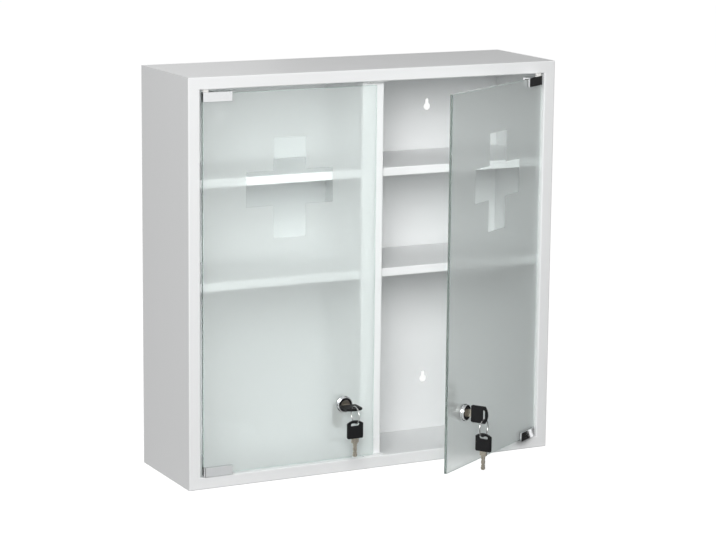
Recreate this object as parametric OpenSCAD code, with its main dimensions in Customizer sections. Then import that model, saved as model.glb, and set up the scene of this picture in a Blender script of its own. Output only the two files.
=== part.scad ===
// Lockable wall cabinet of folded white sheet steel with two hinged glass doors.
// X runs to the right, Y from the doors towards the wall and Z up, in millimetres.
// The origin is the centre of the underside face. The left door is shut and the
// right door stands open, as the cabinet is usually shown.

/* [Cabinet body] */
// Width over the side panels
body_w = 530; // [480:5:700]
// Height over the top and bottom panels
body_h = 530; // [460:5:700]
// Depth from the front face to the wall
body_d = 155; // [120:5:250]
// Thickness of the folded sheet steel
sheet_t = 0.8; // [0.6:0.1:1.2]
// Inner radius of every fold in the sheet
bend_r = 0.8; // [0.4:0.1:1.2]
// Width of the front face that frames the doors
face_w = 16; // [14:0.5:24]
// Depth of the lip that returns into the body behind the front face
lip_d = 18; // [17:0.5:24]
// Width of the flange that is folded inwards at the wall
wall_flange_w = 12; // [8:0.5:13]

/* [Wall fixing] */
// Distance between the left and right keyholes
keyhole_pitch_x = 310; // [200:5:380]
// Height of the lower keyholes above the underside, and of the upper ones below the top
keyhole_inset_z = 73.5; // [40:0.5:120]
// Diameter of the round entry of a keyhole
keyhole_entry_d = 10; // [8:0.5:12]
// Width of the narrow slot of a keyhole
keyhole_slot_w = 5; // [4:0.25:6]
// Rise from the centre of the entry to the top of the slot
keyhole_rise = 10.7; // [9:0.1:14]

/* [Post and partition] */
// Width of the middle post that the doors close in front of
post_w = 30.8; // [28:0.2:40]
// Setback of the post behind the front face
post_setback = 13; // [12:0.25:13.5]
// Depth of the short legs folded along both edges of the post
post_leg = 6; // [3:0.25:6]
// Width of the flanges of the partition sheet
partition_flange_w = 12; // [8:0.5:13]
// Height of the angle bracket at each end of the post
bracket_h = 22; // [18:1:40]
// Depth of the bracket leg that lies against the lip
bracket_d = 10; // [9:0.25:10]
// Thickness of the bracket
bracket_t = 1.2; // [1:0.1:2]
// Width of the bracket
bracket_w = 28; // [24:1:28]
// Diameter of the bracket screws
bracket_screw_d = 3; // [2.5:0.1:3.5]

/* [Shelves] */
// Height of the top of the lower shelves above the underside
lower_shelf_z = 264.5; // [180:0.5:300]
// Height of the top of the upper shelves above the underside
upper_shelf_z = 398; // [320:0.5:430]
// Depth of the edges folded down round a shelf
shelf_edge = 11; // [6:0.5:20]
// Gap between the lip and the front edge of a shelf
shelf_front_gap = 1.5; // [0.5:0.25:6]

/* [Glass doors] */
// Thickness of the glass
glass_t = 4; // [3:0.25:5]
// Gap between the two doors
door_gap = 3.5; // [2:0.25:6]
// Gap between the lip and the hinge side of the glass
hinge_side_gap = 3.5; // [3.5:0.25:6]
// Gap between the upper lip and the glass
glass_top_gap = 5; // [4.5:0.25:8]
// Gap between the lower lip and the glass
glass_bottom_gap = 3; // [2.75:0.25:6]
// Width of the flat ground on the edges of the glass
glass_bevel = 0.4; // [0.2:0.05:0.8]
// Angle that the right door stands open
door_open = 32; // [0:1:105]

/* [Door hinges] */
// Length of the hinge clip along the edge of the glass
clip_l = 40; // [30:1:60]
// Height of the hinge clip
clip_h = 12; // [10:0.5:18]
// Thickness of the jaw in front of the glass
clip_front_jaw = 2.5; // [2:0.1:3]
// Thickness of the jaw behind the glass
clip_back_jaw = 3.5; // [3:0.1:4.2]
// Thickness of the web over the edge of the glass
clip_web = 1.5; // [1:0.1:2]
// Thickness of the liner between the clip and the glass
liner_t = 0.5; // [0.3:0.05:0.6]
// Distance from the edge of the glass to the pivot
pivot_in = 4.9; // [4:0.1:5]
// Depth of the pivot behind the front face of the glass
pivot_depth = 3; // [2.8:0.05:3.2]
// Diameter of the pivot pins
pin_d = 2.5; // [2:0.1:2.6]
// Radial clearance round a pivot pin
pin_play = 0.05; // [0.02:0.01:0.1]
// Diameter of the nylon washers between the clips and the lips
washer_d = 8; // [6:0.25:9]
// Gap between a washer and the clip that turns on it
washer_gap = 0.1; // [0.05:0.05:0.3]
// Diameter of the screws that clamp the glass
clip_screw_d = 4; // [3:0.25:5]

/* [Cam locks] */
// Distance from the middle of the cabinet to the lock axis
lock_x = 45.5; // [42:0.5:60]
// Height of the lock axis above the underside
lock_z = 92; // [70:1:140]
// Diameter of the nose of the lock
nose_d = 20.5; // [20:0.25:22]
// Height of the front of the lock above the glass
nose_h = 5; // [4:0.1:7]
// Diameter of the thin rosette under the nose
rosette_d = 22; // [20:0.5:30]
// Thickness of the rosette
rosette_t = 1; // [0.6:0.1:1.5]
// Thickness of the gaskets on both sides of the glass
gasket_t = 0.5; // [0.3:0.05:0.8]
// Diameter of the threaded barrel
barrel_d = 16; // [15.5:0.1:16.5]
// Clearance of the barrel in the hole through the glass, on the diameter
barrel_clear = 1; // [0.4:0.1:1.5]
// Width of the hexagonal nut over its flats
nut_af = 20; // [19:0.25:24]
// Thickness of the nut
nut_t = 4; // [3:0.25:6]
// Diameter of the turning plug
plug_d = 11; // [10.5:0.1:11.5]
// Radial clearance round the plug
plug_play = 0.05; // [0.02:0.01:0.1]
// Diameter of the shoulder that keeps the plug from sliding inwards
shoulder_d = 13; // [12.5:0.1:13.5]
// Thickness of the shoulder and of the black ring round it
shoulder_t = 0.9; // [0.6:0.1:1.5]
// Outer diameter of the black ring in the nose
face_ring_d = 18.4; // [15:0.1:18.8]
// Gap between the legs of the post and the front of the cam
cam_gap = 0.8; // [0.5:0.1:2]
// Thickness of the cam
cam_t = 2; // [1.5:0.1:3]
// Width of the arm of the cam
cam_w = 14; // [10:0.5:16]
// Distance from the lock axis to the tip of the cam
cam_reach = 36; // [34:0.5:40]
// Width of the square end of the plug that drives the cam
cam_square = 7; // [5:0.25:7.5]
// Diameter of the head of the cam screw
cam_screw_head_d = 9; // [8.5:0.25:12]

/* [Keys and rings] */
// Thickness of the key blade
blade_t = 2; // [1.5:0.1:2.4]
// Width of the key blade
blade_w = 6.2; // [5.5:0.1:7]
// Width of the shoulder of the key between blade and head
shoulder_w = 9.8; // [7.5:0.1:10]
// Gap between the nose of the lock and the shoulder of the inserted key
shoulder_gap = 0.5; // [0.3:0.1:3]
// Length of the blade outside its head
blade_l = 25; // [20:0.2:28]
// Clearance of the blade in its keyway, on each side
blade_play = 0.1; // [0.05:0.01:0.2]
// Distance from the glass to the head of the inserted key
head_standoff = 11; // [11:0.5:14]
// Width of the key head
head_w = 22.6; // [20:0.2:26]
// Length of the key head
head_l = 24; // [20:0.5:28]
// Thickness of the key head
head_t = 3.4; // [3.2:0.1:3.6]
// Radius of the crowned end of the key head
head_crown_r = 18; // [14:0.5:30]
// Radius of the other corners of the key head
head_round = 2; // [1:0.25:3]
// Length of the slot in the key head
eye_l = 13.5; // [10:0.5:15]
// Width of the slot in the key head
eye_w = 4.2; // [4.1:0.1:4.6]
// Width of the bar between the slot and the end of the head
eye_bar = 3.4; // [2.5:0.1:4.5]
// Depth that the blade is moulded into the head
tang_l = 8; // [5:0.5:10]
// Outer diameter of the split ring
ring_d = 24; // [23:0.1:25]
// Thickness of the two turns of the split ring together
ring_wire = 1.4; // [1.2:0.05:1.4]
// Distance of the left ring's centre below the middle of the key head
ring_drop = 5.5; // [4.5:0.05:5.6]
// Running clearance of a ring in a slot
ring_play = 0.05; // [0.03:0.01:0.06]
// Distance of the left ring from the round end of its slot, towards the hinge
ring_from_end = 1.45; // [1.35:0.05:4.6]

/* [Hidden] */
$fn = 48;

left = -1;
right = 1;
cut = 1;                                 // how far a cutting tool runs past a face

// Body
front_y = -body_d / 2;
bend_out = bend_r + sheet_t;
opening_w = body_w - 2 * face_w;
opening_h = body_h - 2 * face_w;
lip_top_z = body_h - face_w;
back_depth = body_d - 2 * sheet_t;       // front of the back panel behind the front face

// Post, partition and shelves
post_back = post_setback + post_leg;
notch_play = 0.2;
partition_notch = lip_d + notch_play;    // clears the lips at both ends of the partition
shelf_front = lip_d + shelf_front_gap;
shelf_back = back_depth - bend_out;
bracket_screw_head_d = 1.8 * bracket_screw_d;
bracket_screw_head_h = 0.6 * bracket_screw_d;
bracket_screw_l = 5;
bracket_screw_inset = 8;
bracket_screw_x = bracket_w / 2 - bracket_screw_inset;    // clear of the partition
bracket_screw_back = 0.55 * bracket_d;

// Doors, measured from the pivot towards the free edge of the glass
pivot_x = opening_w / 2 - hinge_side_gap - pivot_in;
glass_u1 = pivot_x - door_gap / 2;
glass_w = glass_u1 + pivot_in;
glass_z0 = face_w + glass_bottom_gap;
glass_z1 = lip_top_z - glass_top_gap;
glass_h = glass_z1 - glass_z0;
clip_u0 = -pivot_in;
clip_front = -liner_t - clip_front_jaw;
clip_back = glass_t + liner_t + clip_back_jaw;
clip_top_z = glass_z1 + liner_t + clip_web;
clip_bottom_z = glass_z0 - liner_t - clip_web;
clip_turn_r = clip_back - pivot_depth;   // the back of the clip is rounded about the pivot
clip_round = 3;                          // rounding of the outer front corner of a clip
clip_edge_r = 0.8;
clip_screw_grip = 5;                     // from the edge of the glass to a clamping screw
clip_screw_z = clip_h - clip_web - liner_t - clip_screw_grip;
clip_screw_places = [0.32, 0.78];        // along the clip, as shares of its length
lower_washer_t = clip_bottom_z - face_w - washer_gap;
upper_washer_t = lip_top_z - clip_top_z - washer_gap;
pin_in_lip = 3;

// Locks, measured outwards from the front of the glass
lock_u = pivot_x - lock_x;
nose_z0 = gasket_t + rosette_t;
nose_round = 0.6;
gasket_d = rosette_d - 1;
barrel_hole_d = barrel_d + barrel_clear;
part_clear = 0.1;                        // radial gap of a loose ring on the barrel
cam_z1 = -(post_back + cam_gap);
cam_z0 = cam_z1 - cam_t;
cam_play = 0.3;
barrel_end = cam_z1 + cam_play;
shoulder_play = 0.1;
cam_screw_head_t = 2.2;
cam_screw_d = 4;
cam_screw_l = 6;
keyway_floor = 0.9;                      // room past the tip of the blade

// Keys, measured outwards along the blade from the front of the glass
key_end = head_standoff + head_l;
blade_tip = head_standoff - blade_l;
shoulder_z = nose_h + shoulder_gap;
eye_z1 = key_end - eye_bar;
eye_z0 = eye_z1 - eye_w;
eye_mid = (eye_z0 + eye_z1) / 2;
cut_depths = [0.8, 1.4, 0.5, 1.2, 0.7];
cut_pitch = 3;
first_cut_in = 1.5;                      // from the round tip of the blade to its first cut
cut_flat = 1;
ring_r = (ring_d - ring_wire) / 2;
ring_in = ring_r - ring_wire / 2;
ring_out = ring_r + ring_wire / 2;
// Distance from the centre of a ring to the flat bar that hangs on it
bar_seat = sqrt(pow(ring_in, 2) - pow(head_t / 2, 2)) - ring_play;
// The left ring hangs over the end bar and passes down through the narrow slot
ring_cross_in = sqrt(pow(ring_in, 2) - pow(ring_drop + head_t / 2, 2));
ring_cross_out = sqrt(pow(ring_out, 2) - pow(ring_drop - head_t / 2, 2));
left_ring_z = eye_mid + (ring_cross_in + ring_cross_out) / 2;
left_ring_x = ring_from_end + eye_w / 2 - eye_l / 2;
// The right ring hangs in the lower end of the upright slot
right_ring_y = -eye_l / 2 - bar_seat;
spare_shift = eye_z1 + bar_seat;         // from the blade's zero to the centre of its ring

// ---------------------------------------------------------------- shared shapes

// Outline of a sheet folded the same way at every leg, legs measured outside
module folded(legs, t = sheet_t, r = bend_r, i = 0) {
    r_out = r + t;
    last = i == len(legs) - 1;
    straight = legs[i] - (i == 0 ? 0 : r_out) - (last ? 0 : r_out);
    square([straight, t]);
    if (!last) {
        translate([straight, r_out]) difference() {
            intersection() {
                circle(r_out);
                translate([0, -r_out]) square(r_out);
            }
            circle(r);
        }
        translate([straight + r_out, r_out]) rotate(90) folded(legs, t, r, i + 1);
    }
}

// Places an outline drawn in depth and height so that it runs along X, centred
module along_x(length) {
    translate([-length / 2, front_y, 0]) rotate([90, 0, 90]) linear_extrude(length)
        children();
}

module rounded_rect(w, h, r) {
    translate([r, 0]) square([w - 2 * r, h]);
    translate([0, r]) square([w, h - 2 * r]);
    for (x = [r, w - r], y = [r, h - r]) translate([x, y]) circle(r);
}

// Screw along +Z with the seat of its head at z = 0
module pan_screw(d, head_d, head_t, length) {
    translate([0, 0, -length]) cylinder(d = d, h = length + head_t / 2);
    rotate_extrude() intersection() {
        square([head_d / 2, head_t]);
        union() {
            square([head_d / 2, head_t / 2]);
            square([head_d / 2 - head_t / 2, head_t]);
            translate([head_d / 2 - head_t / 2, head_t / 2]) circle(head_t / 2);
        }
    }
}

// ---------------------------------------------------------------- cabinet body

// One folded panel of the body, drawn as the bottom, mitred at both ends
module frame_panel(length) {
    intersection() {
        along_x(length) translate([lip_d, face_w]) rotate(180)
            folded([lip_d, face_w, body_d, wall_flange_w]);
        translate([0, front_y - cut, 0]) rotate([90, 0, 180])
            linear_extrude(body_d + 2 * cut) polygon([
                [-length / 2, 0], [length / 2, 0],
                [length / 2 - face_w, face_w], [face_w - length / 2, face_w]
            ]);
    }
}

module side_panel(side) {
    color("white") mirror([side == right ? 1 : 0, 0, 0])
        translate([-body_w / 2, 0, body_h / 2]) rotate([0, 90, 0]) frame_panel(body_h);
}

module left_side_panel() { side_panel(left); }
module right_side_panel() { side_panel(right); }
module bottom_panel() {
    color("white") difference() {
        frame_panel(body_w);
        bracket_screw_holes();
        both_hinges() pin_hole(face_w - sheet_t, sheet_t);
    }
}
module top_panel() {
    color("white") difference() {
        translate([0, 0, body_h]) mirror([0, 0, 1]) frame_panel(body_w);
        bracket_screw_holes();
        both_hinges() pin_hole(lip_top_z, sheet_t);
    }
}

// Round entry with a narrow slot above it, cut along Y about its centre
module keyhole(depth) {
    rotate([90, 0, 0]) translate([0, 0, -depth / 2]) {
        cylinder(d = keyhole_entry_d, h = depth);
        translate([0, keyhole_rise - keyhole_slot_w / 2, 0])
            cylinder(d = keyhole_slot_w, h = depth);
        translate([-keyhole_slot_w / 2, 0, 0])
            cube([keyhole_slot_w, keyhole_rise - keyhole_slot_w / 2, depth]);
    }
}

module back_panel() {
    half_w = body_w / 2 - bend_out;
    color("whitesmoke") difference() {
        translate([-half_w, front_y + back_depth, bend_out])
            cube([2 * half_w, sheet_t, body_h - 2 * bend_out]);
        for (x = [-keyhole_pitch_x / 2, keyhole_pitch_x / 2],
             z = [keyhole_inset_z, body_h - keyhole_inset_z])
            translate([x, front_y + back_depth + sheet_t / 2, z])
                keyhole(sheet_t + 2 * cut);
    }
}

// ---------------------------------------------------------------- post and partition

// A bracket is welded to the post and held to the lip by one screw
module at_bracket_screw() {
    translate([-bracket_screw_x, front_y + post_setback - bracket_screw_back,
               face_w + bracket_t]) children();
}

module both_post_ends() {
    children();
    translate([0, 0, body_h]) mirror([0, 0, 1]) children();
}

module bracket_screw_holes() {
    both_post_ends() at_bracket_screw() translate([0, 0, -bracket_screw_l - cut])
        cylinder(d = bracket_screw_d + 2 * part_clear, h = bracket_screw_l + 2 * cut);
}

module partition_panel() {
    color("whitesmoke") difference() {
        translate([-sheet_t / 2, front_y, sheet_t]) linear_extrude(body_h - 2 * sheet_t)
            translate([partition_flange_w, post_setback + sheet_t]) mirror([0, 1]) rotate(180)
                folded([partition_flange_w, back_depth - post_setback - sheet_t,
                        partition_flange_w]);
        for (z = [0, lip_top_z])
            translate([-post_w / 2, front_y, z])
                cube([post_w, partition_notch, face_w]);
        bracket_screw_holes();
    }
}

module centre_post() {
    color("white") difference() {
        translate([-post_w / 2, front_y + post_back, face_w]) linear_extrude(opening_h)
            rotate(-90) folded([post_leg, post_w, post_leg]);
        bracket_screw_holes();
    }
}

module post_bracket() {
    difference() {
        along_x(bracket_w) translate([post_setback, face_w + bracket_h]) rotate(-90)
            mirror([0, 1]) folded([bracket_h, bracket_d], bracket_t, bracket_t);
        bracket_screw_holes();
    }
}

module bottom_post_bracket() { color("white") post_bracket(); }
module top_post_bracket() {
    color("white") translate([0, 0, body_h]) mirror([0, 0, 1]) post_bracket();
}

module post_bracket_screws() {
    color("silver") both_post_ends() at_bracket_screw()
        pan_screw(bracket_screw_d, bracket_screw_head_d, bracket_screw_head_h,
                  bracket_screw_l);
}

// ---------------------------------------------------------------- shelves

module shelf(side, top_z) {
    x0 = sheet_t / 2;
    x1 = body_w / 2 - sheet_t;
    depth = shelf_back - shelf_front;
    color("white") mirror([side == left ? 1 : 0, 0, 0]) {
        translate([(x0 + x1) / 2, 0, top_z]) along_x(x1 - x0)
            translate([shelf_back, -shelf_edge]) rotate(90)
                folded([shelf_edge, depth, shelf_edge]);
        for (x = [x0, x1 - sheet_t])
            translate([x, front_y + shelf_front + bend_out, top_z - shelf_edge])
                cube([sheet_t, depth - 2 * bend_out, shelf_edge - sheet_t / 2]);
    }
}

module left_lower_shelf() { shelf(left, lower_shelf_z); }
module left_upper_shelf() { shelf(left, upper_shelf_z); }
module right_lower_shelf() { shelf(right, lower_shelf_z); }
module right_upper_shelf() { shelf(right, upper_shelf_z); }

// ---------------------------------------------------------------- hinge parts on the body

// Places a left-hand part, drawn from the pivot, at the hinge of a shut door
module at_hinge(side) {
    translate([side * pivot_x, front_y, 0]) mirror([side == right ? 1 : 0, 0, 0]) children();
}

module both_hinges() {
    at_hinge(left) children();
    at_hinge(right) children();
}

// Running hole for a pivot pin through a sheet or a washer
module pin_hole(z0, t) {
    translate([0, pivot_depth, z0 - cut]) cylinder(d = pin_d + 2 * pin_play, h = t + 2 * cut);
}

// Washers of a pair of doors, trimmed flush with the front face
module pivot_washers(z0, t) {
    color("whitesmoke") both_hinges() difference() {
        translate([0, pivot_depth, z0]) cylinder(d = washer_d, h = t);
        pin_hole(z0, t);
        translate([-washer_d, -washer_d, z0 - cut]) cube([2 * washer_d, washer_d, t + 2 * cut]);
    }
}

module bottom_pivot_washers() { pivot_washers(face_w, lower_washer_t); }
module top_pivot_washers() { pivot_washers(clip_top_z + washer_gap, upper_washer_t); }

// ---------------------------------------------------------------- glass doors

// Places a left-hand part of a door, drawn from the pivot, on its door as it stands
module on_door(side) {
    translate([side * pivot_x, front_y + pivot_depth, 0])
        rotate([0, 0, side == right ? door_open : 0])
            mirror([side == right ? 1 : 0, 0, 0]) translate([0, -pivot_depth, 0]) children();
}

// Rectangle with flats ground at 45 degrees on its corners
module ground_rect(w, h, flat) {
    polygon([
        [flat, 0], [w - flat, 0], [w, flat], [w, h - flat],
        [w - flat, h], [flat, h], [0, h - flat], [0, flat]
    ]);
}

module door_glass(side) {
    color("lightcyan", 0.6) on_door(side) difference() {
        translate([clip_u0, 0, glass_z0]) intersection() {
            linear_extrude(glass_h) ground_rect(glass_w, glass_t, glass_bevel);
            rotate([90, 0, 90]) linear_extrude(glass_w)
                ground_rect(glass_t, glass_h, glass_bevel);
        }
        translate([lock_u, glass_t + cut, lock_z]) rotate([90, 0, 0])
            cylinder(d = barrel_hole_d, h = glass_t + 2 * cut);
    }
}

module left_door_glass() { door_glass(left); }
module right_door_glass() { door_glass(right); }

// Seen from above: the outer end is rounded so that it clears the body as it turns
module clip_outline() {
    u1 = clip_u0 + clip_l;
    translate([0, clip_front]) intersection() {
        rounded_rect(u1, clip_back - clip_front, clip_edge_r);
        translate([clip_edge_r, 0]) square([u1, clip_back - clip_front]);
    }
    translate([0, clip_front]) square([2 * clip_edge_r, clip_back - clip_front]);
    intersection() {
        translate([clip_u0, clip_front]) square([cut - clip_u0, clip_back - clip_front]);
        union() {
            translate([0, pivot_depth]) circle(clip_turn_r);
            translate([clip_u0, clip_front + clip_round])
                square([cut - clip_u0, pivot_depth - clip_front - clip_round]);
            translate([clip_u0 + clip_round, clip_front]) square([-clip_u0, clip_round]);
            translate([clip_u0 + clip_round, clip_front + clip_round]) circle(clip_round);
        }
    }
}

// Places a clip, drawn upwards from its open edge, on the upper or lower edge of the glass
module at_clip(top) {
    if (top) translate([0, 0, clip_top_z - clip_h]) children();
    else translate([0, 0, clip_bottom_z + clip_h]) mirror([0, 0, 1]) children();
}

module at_clip_screws() {
    for (place = clip_screw_places)
        translate([clip_u0 + place * clip_l, clip_back, clip_screw_z])
            rotate([-90, 0, 0]) children();
}

module hinge_clip(side, top) {
    color("silver") on_door(side) at_clip(top) difference() {
        linear_extrude(clip_h) clip_outline();
        translate([clip_u0 - cut, -liner_t, -cut])
            cube([clip_l + 2 * cut, glass_t + 2 * liner_t, clip_h - clip_web + cut]);
        translate([0, pivot_depth, clip_h - clip_web - cut])
            cylinder(d = pin_d, h = clip_web + 2 * cut);
        at_clip_screws() translate([0, 0, -clip_back_jaw - cut])
            cylinder(d = clip_screw_d, h = clip_back_jaw + 2 * cut);
    }
}

module left_top_hinge_clip() { hinge_clip(left, true); }
module left_bottom_hinge_clip() { hinge_clip(left, false); }
module right_top_hinge_clip() { hinge_clip(right, true); }
module right_bottom_hinge_clip() { hinge_clip(right, false); }

module both_clips(side) {
    on_door(side) {
        at_clip(true) children();
        at_clip(false) children();
    }
}

// Soft U-shaped liner between the jaws and the glass
module clip_liners(side) {
    liner_h = clip_h - clip_web;
    color("dimgray") both_clips(side) intersection() {
        linear_extrude(liner_h) clip_outline();
        difference() {
            translate([clip_u0, -liner_t, 0])
                cube([clip_l, glass_t + 2 * liner_t, liner_h]);
            translate([clip_u0 - cut, 0, -cut])
                cube([clip_l + 2 * cut, glass_t, liner_h - liner_t + cut]);
        }
    }
}

module left_clip_liners() { clip_liners(left); }
module right_clip_liners() { clip_liners(right); }

// Grub screws with a hexagon socket, flush with the back of the clip
module clip_screws(side) {
    socket_d = 0.55 * clip_screw_d;
    socket_depth = 0.5 * clip_back_jaw;
    color("gray") both_clips(side) at_clip_screws() difference() {
        translate([0, 0, -clip_back_jaw]) cylinder(d = clip_screw_d, h = clip_back_jaw);
        translate([0, 0, -socket_depth]) cylinder(d = socket_d, h = clip_back_jaw, $fn = 6);
    }
}

module left_clip_screws() { clip_screws(left); }
module right_clip_screws() { clip_screws(right); }

// The pins are held in the clips and turn in the washers and the lips
module pivot_pins(side) {
    upper_l = lip_top_z - glass_z1 - liner_t + pin_in_lip;
    lower_l = clip_web + clip_bottom_z - face_w + pin_in_lip;
    color("lightgray") on_door(side) {
        translate([0, pivot_depth, glass_z1 + liner_t]) cylinder(d = pin_d, h = upper_l);
        translate([0, pivot_depth, face_w - pin_in_lip]) cylinder(d = pin_d, h = lower_l);
    }
}

module left_pivot_pins() { pivot_pins(left); }
module right_pivot_pins() { pivot_pins(right); }

// ---------------------------------------------------------------- cam locks

// Places a part, drawn along the lock axis with +Z towards the user, on its door
module at_lock(side) {
    on_door(side) translate([lock_u, 0, lock_z]) rotate([90, 0, 0]) children();
}

// Flat ring between two radii
module tube(d_out, d_in, h) {
    difference() {
        cylinder(d = d_out, h = h);
        translate([0, 0, -cut]) cylinder(d = d_in, h = h + 2 * cut);
    }
}

module lock_barrel(side) {
    color("silver") at_lock(side) difference() {
        union() {
            translate([0, 0, nose_z0]) rotate_extrude() {
                square([nose_d / 2 - nose_round, nose_h - nose_z0]);
                square([nose_d / 2, nose_h - nose_z0 - nose_round]);
                translate([nose_d / 2 - nose_round, nose_h - nose_z0 - nose_round])
                    circle(nose_round);
            }
            translate([0, 0, barrel_end]) cylinder(d = barrel_d, h = nose_z0 - barrel_end + 1);
        }
        translate([0, 0, barrel_end - cut])
            cylinder(d = plug_d + 2 * plug_play, h = nose_h - barrel_end + 2 * cut);
        translate([0, 0, nose_h - shoulder_t]) cylinder(d = face_ring_d, h = shoulder_t + cut);
    }
}

module lock_rosette(side) {
    color("silver") at_lock(side) translate([0, 0, gasket_t])
        tube(rosette_d, barrel_d + 2 * part_clear, rosette_t);
}

// One gasket under the rosette and one under the nut
module lock_gaskets(side) {
    color("black") at_lock(side) for (z = [0, -glass_t - gasket_t])
        translate([0, 0, z]) tube(gasket_d, barrel_d + 2 * part_clear, gasket_t);
}

module lock_face_ring(side) {
    color("black") at_lock(side) translate([0, 0, nose_h - shoulder_t])
        tube(face_ring_d, shoulder_d + 2 * shoulder_play, shoulder_t);
}

module lock_nut(side) {
    color("gray") at_lock(side) translate([0, 0, -glass_t - gasket_t - nut_t]) difference() {
        cylinder(d = nut_af / cos(30), h = nut_t, $fn = 6);
        translate([0, 0, -cut]) cylinder(d = barrel_d, h = nut_t + 2 * cut);
    }
}

// Turning core: shoulder in front, keyway for the blade and a square end for the cam
module lock_plug(side, key_turn) {
    keyway_z = blade_tip - keyway_floor;
    color("silver") at_lock(side) rotate(key_turn) difference() {
        union() {
            translate([0, 0, cam_z1]) cylinder(d = plug_d, h = nose_h - cam_z1);
            translate([0, 0, nose_h - shoulder_t]) cylinder(d = shoulder_d, h = shoulder_t);
            translate([-cam_square / 2, -cam_square / 2, cam_z0])
                cube([cam_square, cam_square, cam_t + cut]);
        }
        translate([-blade_w / 2 - blade_play, -blade_t / 2 - blade_play, keyway_z])
            cube([blade_w + 2 * blade_play, blade_t + 2 * blade_play, nose_h - keyway_z + cut]);
        translate([0, 0, cam_z0 - cut]) cylinder(d = cam_screw_d, h = cam_screw_l + cut);
    }
}

// Flat arm on the square end of the plug, drawn with its tip towards +X
module lock_cam(side, cam_turn) {
    hub_d = cam_w + 2;
    tip_r = 3;
    color("gray") at_lock(side) rotate(cam_turn) translate([0, 0, cam_z0]) difference() {
        linear_extrude(cam_t) {
            circle(d = hub_d);
            translate([-cam_w / 2, -cam_w / 2])
                rounded_rect(cam_reach + cam_w / 2, cam_w, tip_r);
        }
        translate([-cam_square / 2, -cam_square / 2, -cut])
            cube([cam_square, cam_square, cam_t + 2 * cut]);
    }
}

module lock_cam_screw(side) {
    color("silver") at_lock(side) translate([0, 0, cam_z0]) mirror([0, 0, 1])
        pan_screw(cam_screw_d, cam_screw_head_d, cam_screw_head_t, cam_screw_l);
}

left_key_turn = 0;                       // the left key lies flat
right_key_turn = 90;                     // the right key stands upright

module left_lock_barrel() { lock_barrel(left); }
module left_lock_rosette() { lock_rosette(left); }
module left_lock_gaskets() { lock_gaskets(left); }
module left_lock_face_ring() { lock_face_ring(left); }
module left_lock_nut() { lock_nut(left); }
module left_lock_plug() { lock_plug(left, left_key_turn); }
module left_lock_cam() { lock_cam(left, -90); }
module left_lock_cam_screw() { lock_cam_screw(left); }
module right_lock_barrel() { lock_barrel(right); }
module right_lock_rosette() { lock_rosette(right); }
module right_lock_gaskets() { lock_gaskets(right); }
module right_lock_face_ring() { lock_face_ring(right); }
module right_lock_nut() { lock_nut(right); }
module right_lock_plug() { lock_plug(right, right_key_turn); }
module right_lock_cam() { lock_cam(right, 90); }
module right_lock_cam_screw() { lock_cam_screw(right); }

// ---------------------------------------------------------------- keys and split rings

// Stands an outline, drawn across and along a key, in the plane of the key
module key_plate(t) {
    translate([0, t / 2, 0]) rotate([90, 0, 0]) linear_extrude(t) children();
}

// Points up one edge of the blade, from the round tip past the cuts to the shoulder
function edge_points(side) = let (
    half = blade_w / 2,
    first_cut = blade_tip + half + first_cut_in,
    cuts = min(len(cut_depths), floor((shoulder_z - first_cut) / cut_pitch + 0.5)),
    last_cut = first_cut + (cuts - 0.5) * cut_pitch
) concat(
    [[side * half, blade_tip + half]],
    [for (i = [0:cuts - 1], p = [
        [side * half, first_cut + (i - 0.45) * cut_pitch],
        [side * (half - cut_depths[i]), first_cut + i * cut_pitch - cut_flat / 2],
        [side * (half - cut_depths[i]), first_cut + i * cut_pitch + cut_flat / 2]
    ]) p],
    [[side * half, last_cut], [side * half, shoulder_z]]
);

// Blade with both edges cut, a round tip, a groove in each face, a wider shoulder and a
// tang
module key_blade() {
    groove_w = 1.4;
    groove_depth = 0.4;
    tang_end = head_standoff + tang_l;
    other_edge = edge_points(-1);
    color("darkkhaki") difference() {
        key_plate(blade_t) {
            polygon(concat(edge_points(1),
                           [for (i = [len(other_edge) - 1:-1:0]) other_edge[i]]));
            translate([0, blade_tip + blade_w / 2]) intersection() {
                circle(blade_w / 2);
                translate([-blade_w / 2, -blade_w / 2]) square([blade_w, blade_w / 2]);
            }
            translate([-shoulder_w / 2, shoulder_z]) square([shoulder_w, tang_end - shoulder_z]);
        }
        for (face = [-1, 1])
            translate([-groove_w / 2, face * blade_t / 2 - groove_depth, blade_tip - cut])
                cube([groove_w, 2 * groove_depth, shoulder_z - blade_tip + cut]);
    }
}

// Sides are straight and the far end is crowned
module head_outline(inset) {
    half = head_w / 2 - inset;
    z0 = head_standoff + inset;
    crown_r = head_crown_r - inset;
    intersection() {
        translate([-half, z0]) rounded_rect(2 * half, 2 * head_l, head_round);
        translate([0, key_end - head_crown_r]) circle(crown_r, $fn = 96);
    }
}

module eye_outline() {
    r = eye_w / 2;
    translate([r - eye_l / 2, eye_z0]) square([eye_l - 2 * r, eye_w]);
    for (x = [-1, 1]) translate([x * (eye_l / 2 - r), eye_mid]) circle(r);
}

// Black plastic head moulded over the tang, with a slot for the ring
module key_head() {
    edge = 0.5;
    color("black") difference() {
        union() {
            key_plate(head_t - 2 * edge) head_outline(0);
            key_plate(head_t) head_outline(edge);
        }
        key_plate(head_t + 2 * cut) eye_outline();
        translate([-shoulder_w / 2, -blade_t / 2, head_standoff - cut])
            cube([shoulder_w, blade_t, tang_l + cut]);
    }
}

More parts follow.
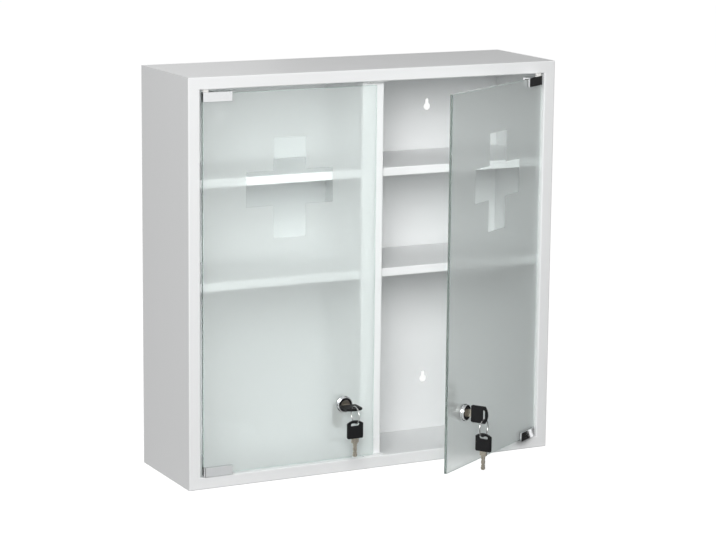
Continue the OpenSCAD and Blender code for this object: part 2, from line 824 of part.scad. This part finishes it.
// Split ring of two turns side by side about Z: a seam shows between them, and the
// wire of each turn ends in a narrow break
module split_ring() {
    seam_w = 0.14;
    seam_d = 0.22;
    break_w = 0.5;
    color("silver") difference() {
        rotate_extrude($fn = 96) translate([ring_r, 0]) difference() {
            circle(ring_wire / 2, $fn = 32);
            for (x = [-1, 1]) translate([x * ring_wire / 2 - seam_d, -seam_w / 2])
                square([2 * seam_d, seam_w]);
        }
        rotate(200) translate([ring_in - cut, 0, 0])
            cube([ring_wire + 2 * cut, break_w, ring_wire]);
        rotate(225) translate([ring_in - cut, 0, -ring_wire])
            cube([ring_wire + 2 * cut, break_w, ring_wire]);
    }
}

// Places a key with its head flat or upright in its lock
module in_lock(side, key_turn) {
    at_lock(side) rotate(key_turn) children();
}

// The left ring stands square to the door and hooks over the end bar of its key
module at_left_ring() {
    at_lock(left) translate([left_ring_x, -ring_drop, left_ring_z]) children();
}

// The right ring hangs in line with its door from the lower end of the slot
module at_right_ring() {
    at_lock(right) translate([0, right_ring_y, eye_mid]) children();
}

// Turns a key so that it hangs straight down with its head on the ring
module hung() {
    translate([0, -spare_shift, 0]) rotate([-90, 0, 0]) children();
}

module left_key_blade() { in_lock(left, left_key_turn) key_blade(); }
module left_key_head() { in_lock(left, left_key_turn) key_head(); }
module left_key_ring() { at_left_ring() rotate([0, 90, 0]) split_ring(); }
module left_spare_key_blade() { at_left_ring() hung() key_blade(); }
module left_spare_key_head() { at_left_ring() hung() key_head(); }
module right_key_blade() { in_lock(right, right_key_turn) key_blade(); }
module right_key_head() { in_lock(right, right_key_turn) key_head(); }
module right_key_ring() { at_right_ring() split_ring(); }
module right_spare_key_blade() { at_right_ring() rotate([0, 90, 0]) hung() key_blade(); }
module right_spare_key_head() { at_right_ring() rotate([0, 90, 0]) hung() key_head(); }

left_side_panel();
right_side_panel();
top_panel();
bottom_panel();
back_panel();
partition_panel();
centre_post();
top_post_bracket();
bottom_post_bracket();
post_bracket_screws();
left_lower_shelf();
left_upper_shelf();
right_lower_shelf();
right_upper_shelf();
top_pivot_washers();
bottom_pivot_washers();
left_door_glass();
left_top_hinge_clip();
left_bottom_hinge_clip();
left_clip_liners();
left_clip_screws();
left_pivot_pins();
right_door_glass();
right_top_hinge_clip();
right_bottom_hinge_clip();
right_clip_liners();
right_clip_screws();
right_pivot_pins();
left_lock_barrel();
left_lock_rosette();
left_lock_gaskets();
left_lock_face_ring();
left_lock_nut();
left_lock_plug();
left_lock_cam();
left_lock_cam_screw();
right_lock_barrel();
right_lock_rosette();
right_lock_gaskets();
right_lock_face_ring();
right_lock_nut();
right_lock_plug();
right_lock_cam();
right_lock_cam_screw();
left_key_blade();
left_key_head();
left_key_ring();
left_spare_key_blade();
left_spare_key_head();
right_key_blade();
right_key_head();
right_key_ring();
right_spare_key_blade();
right_spare_key_head();
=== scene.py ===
from math import cos, pi, radians, sin

import bmesh
import bpy
from mathutils import Matrix, Vector

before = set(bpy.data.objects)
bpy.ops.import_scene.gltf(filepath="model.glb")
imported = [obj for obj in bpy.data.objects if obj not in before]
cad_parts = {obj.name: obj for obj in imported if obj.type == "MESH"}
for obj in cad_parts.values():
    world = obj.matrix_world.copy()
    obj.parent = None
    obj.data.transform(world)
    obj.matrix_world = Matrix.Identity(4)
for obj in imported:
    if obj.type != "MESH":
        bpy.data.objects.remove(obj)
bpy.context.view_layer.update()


# ------------------------------------------------------------------ cabinet body
# Four panels and a back folded from 0.8 mm sheet steel, mitred at the front corners
# and spot-welded. After welding the whole body is powder coated white, which leaves
# a faint orange peel.

class Shade:
    """A socket of a material's nodes. Sums written with it become Math nodes."""

    def __init__(self, tree, socket=None):
        self.tree = tree
        self.socket = socket

    def node(self, kind, settings=(), out=None, **sockets):
        """Adds a node: its settings first, then values or links, a list where names repeat."""
        made = self.tree.nodes.new("ShaderNode" + kind)
        for name, value in dict(settings).items():
            setattr(made, name, value)
        for name, given in sockets.items():
            ends = [end for end in made.inputs
                    if end.enabled and end.name == name.replace("_", " ")]
            for end, value in zip(ends, given if isinstance(given, list) else [given]):
                if isinstance(value, Shade):
                    self.tree.links.new(value.socket, end)
                else:
                    end.default_value = value
        starts = [start for start in made.outputs if start.enabled and out in (None, start.name)]
        return Shade(self.tree, starts[0] if starts else None)

    def math(self, operation, *values, clamped=False):
        settings = {"operation": operation, "use_clamp": clamped}
        return self.node("Math", settings, Value=list(values))

    def __add__(self, other):
        return self.math("ADD", self, other)

    def __sub__(self, other):
        return self.math("SUBTRACT", self, other)

    def __rsub__(self, other):
        return self.math("SUBTRACT", other, self)

    def __mul__(self, other):
        return self.math("MULTIPLY", self, other)

    def __abs__(self):
        return self.math("ABSOLUTE", self)

    __radd__ = __add__
    __rmul__ = __mul__

    def rise(self, width):
        """0 to 1 while this grows from nothing to the width."""
        return self.math("MULTIPLY", self, 1 / width, clamped=True)

    def split(self):
        """The x, y and z of a place."""
        ends = self.node("SeparateXYZ", Vector=self).socket.node.outputs
        return [Shade(self.tree, end) for end in ends]

    def place(self):
        return self.node("TexCoord", out="Object")

    def noise(self, scale, detail, roughness, place=None):
        return self.node("TexNoise", Vector=place or self.place(), Scale=scale, Detail=detail,
                         Roughness=roughness)

    def relief(self, height, strength, distance):
        return self.node("Bump", Strength=strength, Distance=distance, Height=height)

    def blend(self, factor, first, second):
        return self.node("Mix", {"data_type": "RGBA"}, Factor=factor, A=first, B=second)

    def surface(self, **sockets):
        """Ends the nodes in one Principled shader."""
        self.node("OutputMaterial", Surface=self.node("BsdfPrincipled", **sockets))


def new_finish(name):
    """An empty material and the start of its nodes."""
    material = bpy.data.materials.new(name)
    material.use_nodes = True
    material.node_tree.nodes.clear()
    return material, Shade(material.node_tree)


def dress(material, *names):
    for name in names:
        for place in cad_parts[name].material_slots:
            place.material = material


powder_white, powder = new_finish("white powder coat")
orange_peel = powder.noise(620, 2, 0.55)
film = powder.noise(11, 3, 0.5)
powder.surface(Base_Color=powder.blend(film, (0.745, 0.753, 0.757, 1), (0.78, 0.787, 0.789, 1)),
               Roughness=0.33 + 0.1 * film,
               Normal=powder.relief(orange_peel, 0.35, 0.00004))

dress(powder_white, "left_side_panel", "right_side_panel", "top_panel", "bottom_panel",
      "back_panel")


# ------------------------------------------------------------ post, partition, shelves
# A shallow steel channel stands behind the gap between the doors, screwed to the body
# by an angle at each end. A sheet behind it parts the two bays, and each bay has two
# shelves with folded edges. All of it is coated with the body.

def left_and_right(*names):
    """The names of pieces that the cabinet has on both sides."""
    return [side + "_" + name for name in names for side in ("left", "right")]


dress(powder_white, "partition_panel", "centre_post", "top_post_bracket",
      "bottom_post_bracket", *left_and_right("lower_shelf", "upper_shelf"))

# The small screws are zinc plated, with the spangle of plating that was never polished.
zinc, plating = new_finish("zinc-plated steel")
spangle = plating.noise(900, 3, 0.6)
plating.surface(Metallic=1, Roughness=0.26 + 0.2 * spangle,
                Base_Color=plating.blend(spangle, (0.5, 0.5, 0.48, 1), (0.72, 0.72, 0.7, 1)),
                Normal=plating.relief(spangle, 0.2, 0.00003))

dress(zinc, "post_bracket_screws")


# ---------------------------------------------------------------------- glass doors
# Two panes of 4 mm safety glass with ground edges. The front is etched all over
# except for a plain cross, which stays clear, so the shelves show through it sharply
# and only as soft shapes elsewhere.

left, right = -1, 1
side_name = {left: "left", right: "right"}
door_turn = {left: 0.0, right: radians(32)}   # the left door is shut, the right one open
pivot_x = 0.2406                              # from the middle of the cabinet
pivot_y = -0.0745
front_to_pivot = 0.003

# Middles are measured across from the pivot towards the free edge, and up from the
# floor. Halves are half the width and half the height.
pane_across, pane_height = 0.117, 0.264       # the middle of a pane
pane_half = (0.1219, 0.245)
rim_in = 0.0016                               # the edge's green starts so far inside
rim_fade = 0.00111                            # and is full after so much more
cross_across, cross_height = 0.1153, 0.3845   # the middle of the cross
upright_half = (0.0226, 0.0643)
level_half = (0.0606, 0.0223)
etching_fade = 0.0004                         # the width of the cross's soft outline
face_depth = 0.0003                           # only so much of the front is etched
face_fade = 0.0001
bloom_share = 0.46                            # of the light that an etched face scatters


def pattern_place(shade, side, across, height):
    """Object coordinates turned to a door, from a point so far from its pivot."""
    turn = door_turn[side]
    point = (Vector((side * pivot_x, pivot_y, height))
             + Matrix.Rotation(turn, 3, "Z") @ Vector((-side * across, 0, 0)))
    return shade.node("Mapping", Vector=shade.place(), Rotation=(0, 0, -turn),
                      Location=-(Matrix.Rotation(-turn, 3, "Z") @ point))


def depth_inside(x, z, half_width, half_height):
    """How far a point is inside a rectangle, less than nothing outside it."""
    return x.math("MINIMUM", half_width - abs(x), half_height - abs(z))


def etched_glass(side):
    material, glass = new_finish(side_name[side] + " etched glass")
    x, y, z = pattern_place(glass, side, cross_across, cross_height).split()
    in_cross = glass.math("MAXIMUM", depth_inside(x, z, *upright_half),
                          depth_inside(x, z, *level_half))
    clear = (in_cross + etching_fade / 2).rise(etching_fade)
    front = (face_depth - front_to_pivot - y).rise(face_fade)
    etched = front * (1 - clear)
    in_pane = depth_inside(x + side * (pane_across - cross_across),
                           z + (cross_height - pane_height),
                           *(half - rim_in for half in pane_half))
    rim = (0.0 - in_pane).rise(rim_fade)
    grain = glass.noise(1500, 2, 0.6)
    body = glass.node(
        "BsdfPrincipled", Transmission_Weight=1, IOR=1.46,
        Base_Color=glass.blend(rim, (0.92, 0.945, 0.937, 1), (0.68, 0.83, 0.78, 1)),
        Roughness=etched * (0.27 + 0.08 * grain) + rim * 0.12)
    bloom = glass.node(
        "BsdfPrincipled", Roughness=0.5, Base_Color=(0.6, 0.64, 0.63, 1),
        Normal=glass.relief(grain, 0.15, 0.00002))
    pane = glass.node("MixShader", Fac=etched * bloom_share, Shader=[body, bloom])
    lit_through = glass.node("BsdfTransparent", Color=(0.69, 0.714, 0.709, 1))
    shadow_ray = glass.node("LightPath", out="Is Shadow Ray")
    glass.node("OutputMaterial", Surface=glass.node(
        "MixShader", Fac=shadow_ray, Shader=[pane, lit_through]))
    return material


dress(etched_glass(left), "left_door_glass")
dress(etched_glass(right), "right_door_glass")


# --------------------------------------------------------------------- hinge clips
# A die-cast clip grips each outer corner of a pane. It is polished and chromed, lined
# with black rubber, and clamped from behind with two socket grub screws.

def polished(name, colour, roughness, unevenness):
    material, metal = new_finish(name)
    haze = metal.noise(160, 4, 0.65)
    wave = metal.noise(45, 1, 0.4)
    metal.surface(Metallic=1, Base_Color=colour, Roughness=roughness + 0.07 * haze,
                  Normal=metal.relief(wave, unevenness, 0.0002))
    return material


chrome_colour = (0.78, 0.79, 0.8, 1)
chrome_roughness = 0.05
chrome = polished("chrome plating", chrome_colour, chrome_roughness, 0.25)
dress(chrome, *left_and_right("top_hinge_clip", "bottom_hinge_clip"))
dress(zinc, *left_and_right("clip_screws", "pivot_pins"))

rubber, soft = new_finish("black rubber")
dust = soft.noise(400, 4, 0.7)
soft.surface(Roughness=0.7 + 0.2 * dust,
             Base_Color=soft.blend(dust, (0.012, 0.012, 0.012, 1), (0.04, 0.04, 0.038, 1)),
             Normal=soft.relief(dust, 0.3, 0.00005))
dress(rubber, *left_and_right("clip_liners", "lock_gaskets"))

# The pivot pins turn in pressed nylon washers on the lips of the body.
nylon, washer = new_finish("white nylon")
flow = washer.noise(260, 2, 0.5)
washer.surface(Roughness=0.42 + 0.12 * flow,
               Base_Color=washer.blend(flow, (0.6, 0.595, 0.575, 1), (0.66, 0.655, 0.64, 1)),
               Normal=washer.relief(flow, 0.15, 0.00003))
dress(nylon, "top_pivot_washers", "bottom_pivot_washers")


# ----------------------------------------------------------------------- cam locks
# A lock is clamped through a hole in each pane: a chromed nose and rosette in front,
# a threaded barrel with a hexagon nut behind. The plug turns in a gloss black ring and
# drives a flat cam.

lock_across = 0.1951                          # from the pivot
lock_height = 0.092
thread_pitch = 0.001
thread_start = 0.0015                         # behind the pivot, at the gasket's back
thread_fade = 0.0002


def threaded_chrome(side):
    material, metal = new_finish(side_name[side] + " lock barrel")
    place = pattern_place(metal, side, lock_across, lock_height)
    x, y, z = place.split()
    behind_glass = (y - thread_start).rise(thread_fade)
    helix = metal.math("SINE", y * (2 * pi / thread_pitch) + metal.math("ARCTAN2", z, x))
    haze = metal.noise(160, 4, 0.65, place)
    metal.surface(Metallic=1, Base_Color=chrome_colour,
                  Roughness=chrome_roughness + 0.07 * haze + 0.1 * behind_glass,
                  Normal=metal.relief(behind_glass * helix, 1, 0.0003))
    return material


dress(threaded_chrome(left), "left_lock_barrel")
dress(threaded_chrome(right), "right_lock_barrel")
dress(chrome, *left_and_right("lock_rosette"))
dress(zinc, *left_and_right("lock_nut", "lock_cam", "lock_cam_screw"))


def moulded_black(name, colour, roughness, grain_height, shine):
    """Black plastic, its grain rubbed lighter in places."""
    material, plastic = new_finish(name)
    grain = plastic.noise(1800, 2, 0.5)
    rubbed = plastic.noise(210, 5, 0.7)
    lighter = tuple(1.7 * part for part in colour[:3]) + (1,)
    plastic.surface(Roughness=roughness + 0.15 * rubbed, Specular_IOR_Level=shine,
                    Base_Color=plastic.blend(rubbed, colour, lighter),
                    Normal=plastic.relief(grain, grain_height, 0.00004))
    return material


gloss_black = moulded_black("gloss black plastic", (0.008, 0.008, 0.009, 1), 0.08, 0.05, 0.5)
dress(gloss_black, *left_and_right("lock_face_ring"))


def drawn_metal(name, dull, bright, roughness, fineness):
    """Metal with the fine marks of its making, each axis with its own fineness."""
    material, metal = new_finish(name)
    place = metal.place()
    marks = metal.noise(1, 4, 0.6, metal.node("Mapping", Vector=place, Scale=fineness))
    tarnish = metal.noise(140, 4, 0.6, place)
    metal.surface(Metallic=1, Roughness=roughness + 0.16 * marks,
                  Base_Color=metal.blend(tarnish, dull, bright),
                  Normal=metal.relief(marks, 0.25, 0.00003))
    return material


turned_plug = drawn_metal("turned plug", (0.2, 0.185, 0.165, 1),
                          (0.36, 0.335, 0.3, 1), 0.24, (900, 900, 900))
dress(turned_plug, *left_and_right("lock_plug"))


# ------------------------------------------------------------------- keys and rings
# Each lock has its key in it and a spare on a split ring. The blades are cut from
# nickel silver; the heads are black plastic moulded over them, with a slot for the ring.

nickel_silver = (0.5, 0.46, 0.38, 1), (0.8, 0.74, 0.64, 1), 0.2   # dull, bright, roughness
along_y = drawn_metal("inserted key blades", *nickel_silver, (2200, 160, 2200))
along_z = drawn_metal("spare key blades", *nickel_silver, (2200, 2200, 160))
dress(along_y, *left_and_right("key_blade"))
dress(along_z, *left_and_right("spare_key_blade"))

ring_wire = polished("ring steel", (0.6, 0.6, 0.59, 1), 0.16, 0.1)
dress(ring_wire, *left_and_right("key_ring"))

key_black = moulded_black("grained black plastic", (0.006, 0.006, 0.0065, 1), 0.4, 0.3, 0.22)
dress(key_black, *left_and_right("key_head", "spare_key_head"))


# --------------------------------------------------------------------- photo studio
# The cabinet stands on a plain pale floor. One large soft lamp and the world light it
# so that its white renders about as written; the floor and the world are whiter only
# where the camera, polished metal or glass sees them.

def seen_directly(shade):
    """1 for what the camera sees directly, in polished metal or through glass."""
    rays = [shade.node("LightPath", out=name) for name in
            ("Is Camera Ray", "Is Glossy Ray", "Is Transmission Ray")]
    return shade.math("MAXIMUM", shade.math("MAXIMUM", rays[0], rays[1]), rays[2])


def grey_paint(shade, grey):
    return shade.node("BsdfDiffuse", Color=(grey, grey, grey, 1))


def flat_sheet(name, matrix):
    """A flat square of 1 m, which the matrix stretches, turns and places."""
    mesh = bpy.data.meshes.new(name)
    form = bmesh.new()
    bmesh.ops.create_grid(form, x_segments=1, y_segments=1, size=0.5, matrix=matrix)
    form.to_mesh(mesh)
    form.free()
    sheet = bpy.data.objects.new(name, mesh)
    bpy.context.scene.collection.objects.link(sheet)
    return sheet


room = bpy.data.worlds.new("studio")
room.use_nodes = True
room.node_tree.nodes.clear()
air = Shade(room.node_tree)
ambient = 0.37
air.node("OutputWorld", Surface=air.node(
    "Background", Color=(1, 1, 1, 1),
    Strength=ambient + (1 - ambient) * seen_directly(air)))
bpy.context.scene.world = room

# The floor lights the cabinet as a grey one would, and looks white.
floor = flat_sheet("floor", Matrix.Scale(28, 4))
pale, paint = new_finish("pale floor")
lifted = paint.node("AddShader", Shader=[
    grey_paint(paint, 0.4), paint.node("Emission", Color=(1, 1, 1, 1), Strength=0.86)])
paint.node("OutputMaterial", Surface=paint.node(
    "MixShader", Fac=seen_directly(paint), Shader=[grey_paint(paint, 0.24), lifted]))
floor.data.materials.append(pale)

lamp = bpy.data.lights.new("large soft light", "AREA")
lamp.shape = "DISK"
lamp.size = 1.6
lamp.energy = 90
light = bpy.data.objects.new("large soft light", lamp)
light.location = (-1.4, -2.6, 1.5)
aim = Vector((0, 0, 0.27))
light.rotation_euler = (aim - light.location).to_track_quat("-Z", "Y").to_euler()
light.visible_camera = False
bpy.context.scene.collection.objects.link(light)


def reflected_board(name, size, grey, place, turn=0, axis="X"):
    """A board that only polished surfaces see, as boards round a product are placed."""
    board = flat_sheet(name, Matrix.Translation(place)
                       @ Matrix.Rotation(radians(turn), 4, axis)
                       @ Matrix.Diagonal((*size, 1, 1)))
    material, card = new_finish(name)
    card.node("OutputMaterial", Surface=grey_paint(card, grey))
    board.data.materials.append(material)
    board.visible_camera = False
    board.visible_diffuse = False
    board.visible_shadow = False
    board.visible_transmission = False


# A dark board leans beside the cabinet, a grey one lies in front of it and another
# stands behind it to the right. On the floor, a dark and a grey card show in the lower
# clip and lock of the open door, and a pale one in the lower clip of the shut door.
reflected_board("dark board", (1.5, 2.2), 0.04, (0.9, -0.6, 0.58), -50, "Y")
reflected_board("grey board", (2.4, 1.25), 0.42, (0.45, -0.72, 0.002))
reflected_board("dark card", (1.0, 0.34), 0.03, (0.7, -0.25, 0.004))
reflected_board("grey card", (0.6, 0.2), 0.3, (0.58, 0.025, 0.004))
reflected_board("pale card", (0.16, 0.18), 0.82, (-0.17, -0.21, 0.004))
reflected_board("grey backdrop", (2.2, 1.5), 0.8, (1.6, 1.3, 0.9), 90)

# The photograph was taken from the left and a little above with a long lens.
turned, tipped, rolled = radians(27.0269), radians(10.987), radians(0.5717)
ahead = Vector((sin(turned) * cos(tipped), cos(turned) * cos(tipped), -sin(tipped)))
level = Vector((cos(turned), -sin(turned), 0))
upward = level.cross(ahead)
rightward = cos(rolled) * level + sin(rolled) * upward
topward = cos(rolled) * upward - sin(rolled) * level
camera_place = (-1.46267, -2.89237, 0.88276)
lens = bpy.data.cameras.new("camera")
lens.lens = 124.65
lens.sensor_width = 36
camera = bpy.data.objects.new("camera", lens)
camera.matrix_world = (Matrix.Translation(camera_place)
                       @ Matrix((rightward, topward, -ahead)).transposed().to_4x4())
bpy.context.scene.collection.objects.link(camera)
bpy.context.scene.camera = camera
bpy.context.scene.view_settings.view_transform = "Standard"
